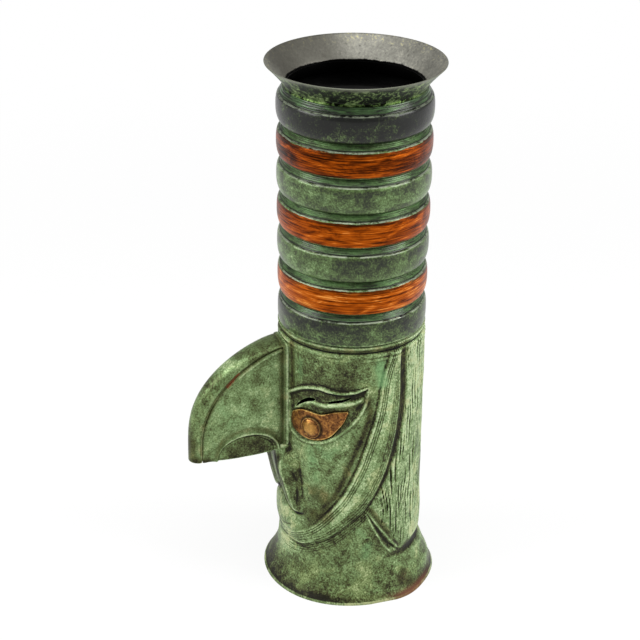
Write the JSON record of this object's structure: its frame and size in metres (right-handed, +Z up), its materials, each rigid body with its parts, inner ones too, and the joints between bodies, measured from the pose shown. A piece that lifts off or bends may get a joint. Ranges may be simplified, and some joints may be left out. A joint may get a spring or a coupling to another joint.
{
  "type": "repousse vase",
  "caption": "Tall tubular metal vase with a flared lip, a neck of stacked hoops and a chased beaked head over a trumpet foot.",
  "frame": {"origin": "centre of the flat underside, on the surface that the vase stands on", "axes": "+Z up along the axis of the tube, the beak points along -Y, +X is the side of the right eye"},
  "size_m": [0.098, 0.1436, 0.3055],
  "materials": {
    "green_patina": "mottled green patina on chased copper, rubbed lighter on edges, darker in recesses",
    "dark_patina": "dark olive green patina on copper, with lighter shoulders",
    "bare_copper": "burnished copper band with fine level scratches, green patina on the shoulder",
    "grey_patina": "warm grey oxidised copper, speckled",
    "eye_brass": "aged golden brown brass, dark round the pupil"
  },
  "bodies": {
    "root": {"base_plate": "green_patina", "head_shell": "green_patina", "neck_hoop_7": "dark_patina", "neck_hoop_6": "bare_copper", "neck_hoop_5": "dark_patina", "neck_hoop_4": "bare_copper", "neck_hoop_3": "dark_patina", "neck_hoop_2": "bare_copper", "neck_hoop_1": "dark_patina", "lip_flare": "grey_patina", "beak_flange": "green_patina", "beak_crest": "green_patina", "beak_sole": "green_patina", "beak_side_right": "green_patina", "beak_side_left": "green_patina", "eye_plate_right": "eye_brass", "eye_plate_left": "eye_brass", "eye_pupil_right": "eye_brass", "eye_pupil_left": "eye_brass"}
  },
  "joints": []
}
